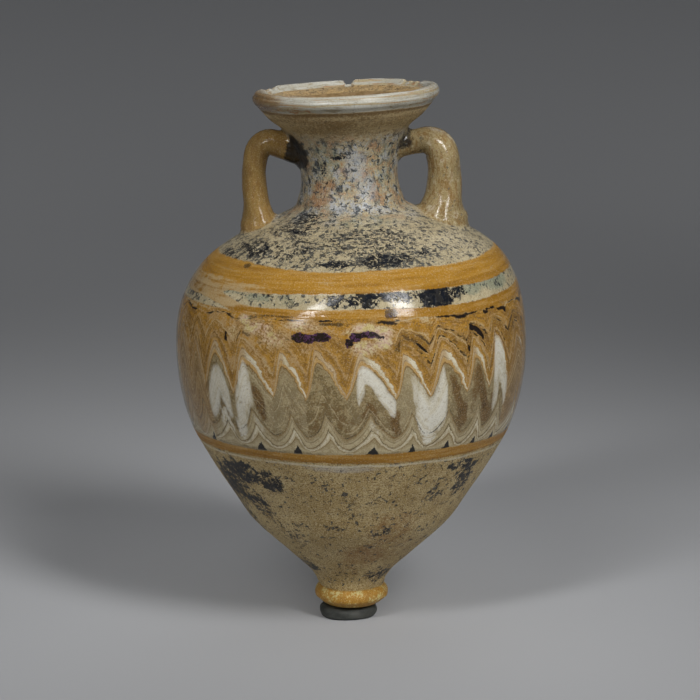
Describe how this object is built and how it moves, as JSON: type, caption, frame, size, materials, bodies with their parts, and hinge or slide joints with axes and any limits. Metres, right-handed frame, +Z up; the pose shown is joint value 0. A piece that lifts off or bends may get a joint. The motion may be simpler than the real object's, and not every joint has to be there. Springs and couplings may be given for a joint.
{
  "type": "glass perfume flask",
  "caption": "Core-formed amphora-shaped glass flask with swelling body, flared rim, cane handles and a base knob, upright on a putty pad.",
  "frame": {"origin": "on the flask's axis at the underside of the putty pad, on the surface it stands on", "axes": "+Z up along the flask's height, front towards -Y as the picture shows it, +X to the right in the picture"},
  "size_m": [0.0666, 0.0666, 0.1031],
  "materials": {
    "weathered_glass": "opaque glass with trailed yellow and white threads, weathered beige with dark patches, half glossy",
    "museum_putty": "dark grey putty, matte"
  },
  "bodies": {
    "root": {"flask": "weathered_glass", "putty_pad": "museum_putty"}
  },
  "joints": []
}
